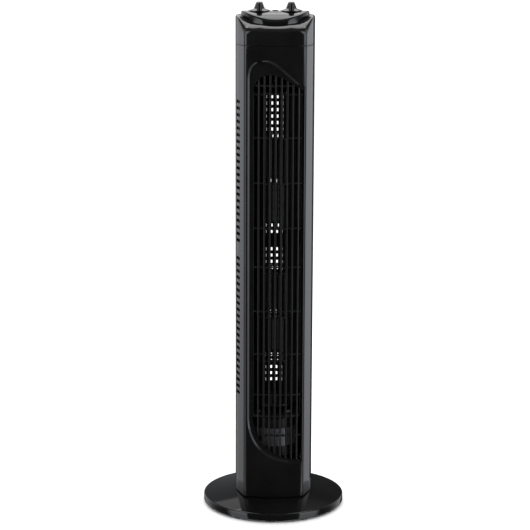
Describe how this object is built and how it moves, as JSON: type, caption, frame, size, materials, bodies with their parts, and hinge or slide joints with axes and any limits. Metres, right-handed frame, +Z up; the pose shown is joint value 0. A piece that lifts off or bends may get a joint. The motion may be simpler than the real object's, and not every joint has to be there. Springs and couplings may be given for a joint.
{
  "type": "tower fan",
  "caption": "Slim oscillating tower fan in gloss black: round base, tall grille over a crossflow rotor, rear vents, and a domed head with rotary speed and timer knobs.",
  "frame": {"origin": "on the floor under the middle of the round base, on the axis that the tower turns about", "axes": "+Z up along the tower, the grille faces -Y, +X to the right seen from the front"},
  "size_m": [0.22, 0.22, 0.7835],
  "materials": {
    "gloss_black": "polished injection-moulded ABS",
    "satin_black": "plain moulded finish",
    "rotor_plastic": "glass-filled, slightly grained",
    "rubber": "soft matt",
    "white_nylon": "natural nylon",
    "switch_resin": "moulded resin",
    "zinc_steel": "zinc-plated pressed steel",
    "black_steel": "pressed steel with black lacquer",
    "ground_steel": "ground and polished",
    "laminations": "stacked sheets, varnished",
    "copper": "enamelled winding wire",
    "capacitor_case": "potted case",
    "bronze": "sintered, oiled",
    "wire_sleeve": "braided sleeve"
  },
  "bodies": {
    "base": {"base_disc": "gloss_black", "base_ballast": "zinc_steel", "ballast_screws": "zinc_steel", "base_feet": "rubber", "pivot_post": "satin_black", "post_screws": "zinc_steel", "thrust_washer": "white_nylon", "yoke_plate": "zinc_steel", "yoke_screws": "zinc_steel"},
    "tower": {"tower_floor": "satin_black", "osc_motor": "zinc_steel", "osc_motor_screws": "zinc_steel", "front_cover": "gloss_black", "front_grille": "gloss_black", "rear_cover": "gloss_black", "cover_screws": "zinc_steel", "head_shell": "gloss_black", "control_plate": "gloss_black", "scroll_wall": "satin_black", "vortex_wall": "satin_black", "upper_bearing_plate": "satin_black", "upper_bearing_rubber": "rubber", "upper_bush": "bronze", "motor_bracket": "satin_black", "motor_rubbers": "rubber", "motor_bell_upper": "black_steel", "motor_stator": "laminations", "motor_windings": "copper", "motor_bell_lower": "black_steel", "motor_screws": "zinc_steel", "motor_capacitor": "capacitor_case", "speed_switch": "switch_resin", "timer_body": "zinc_steel", "osc_switch": "switch_resin", "terminal_block": "switch_resin", "wire_loom": "wire_sleeve", "cord_gland": "rubber"},
    "crank": {"crank_disc": "white_nylon", "crank_pin": "ground_steel"},
    "rotor": {"rotor_segment_1": "rotor_plastic", "rotor_segment_2": "rotor_plastic", "rotor_segment_3": "rotor_plastic", "rotor_segment_4": "rotor_plastic", "rotor_segment_5": "rotor_plastic", "rotor_segment_6": "rotor_plastic", "rotor_segment_7": "rotor_plastic", "rotor_bottom_cap": "rotor_plastic", "rotor_top_cap": "rotor_plastic", "rotor_stub": "ground_steel", "motor_shaft": "ground_steel", "motor_core": "laminations"},
    "speed_knob": {"speed_knob": "gloss_black", "speed_spindle": "bronze"},
    "timer_knob": {"timer_knob": "gloss_black", "timer_spindle": "bronze"},
    "osc_button": {"osc_button": "gloss_black"}
  },
  "joints": [
    {"name": "oscillation", "type": "hinge", "parent": "base", "child": "tower", "pos_m": [0, 0, 0.024], "axis": [0, 0, 1], "range_deg": [-30, 30]},
    {"name": "crank_turn", "type": "hinge", "parent": "tower", "child": "crank", "pos_m": [0, 0.027, 0.038], "axis": [0, 0, 1], "continuous": true},
    {"name": "rotor_spin", "type": "hinge", "parent": "tower", "child": "rotor", "pos_m": [0, 0, 0.4], "axis": [0, 0, 1], "continuous": true},
    {"name": "speed_turn", "type": "hinge", "parent": "tower", "child": "speed_knob", "pos_m": [0.024, 0, 0.768], "axis": [0, 0, 1], "range_deg": [-135, 0]},
    {"name": "timer_turn", "type": "hinge", "parent": "tower", "child": "timer_knob", "pos_m": [-0.024, 0, 0.768], "axis": [0, 0, 1], "range_deg": [-270, 30]},
    {"name": "osc_button_press", "type": "slide", "parent": "tower", "child": "osc_button", "axis": [0, 0, 1], "range_m": [-0.0025, 0], "stiffness_N_per_m": 400, "springref_m": 0.001}
  ]
}
